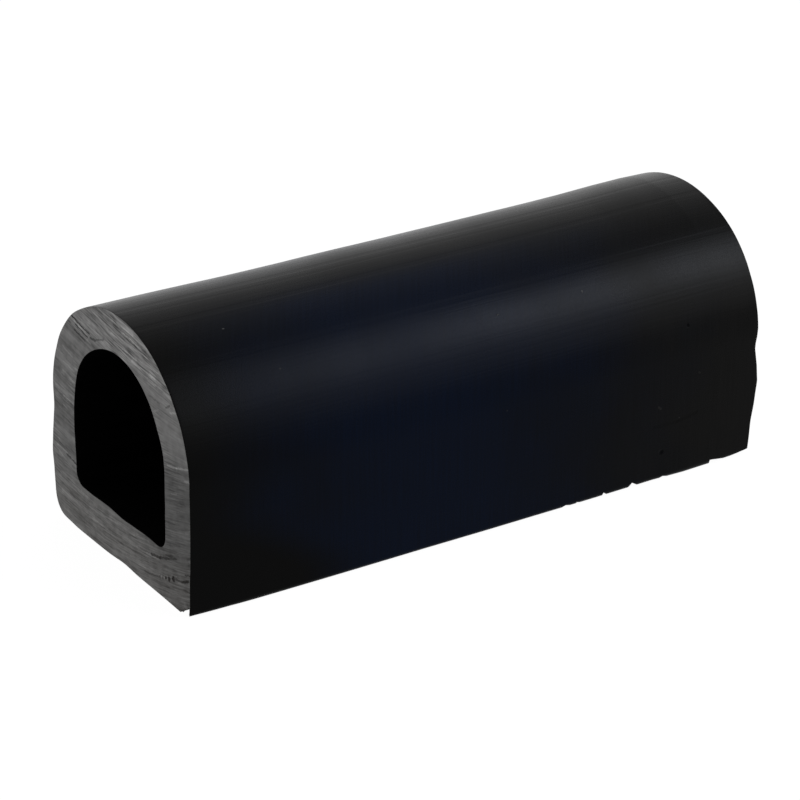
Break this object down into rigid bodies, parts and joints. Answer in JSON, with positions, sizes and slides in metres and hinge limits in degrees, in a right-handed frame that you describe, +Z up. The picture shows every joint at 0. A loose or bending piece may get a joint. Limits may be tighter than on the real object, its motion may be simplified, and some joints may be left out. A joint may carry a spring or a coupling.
{
  "type": "fender profile",
  "caption": "Cut length of hollow D-section rubber fender with a flat base, half-round crown and a D-shaped bore right through.",
  "frame": {"origin": "middle of the flat base at mid-length", "axes": "+X along the length, +Y across the base, +Z up from the base to the crown"},
  "size_m": [0.256, 0.1018, 0.1],
  "materials": {
    "rubber": "satin black extruded skin, matte grey where it is cut"
  },
  "bodies": {
    "root": {"fender_profile": "rubber"}
  },
  "joints": []
}
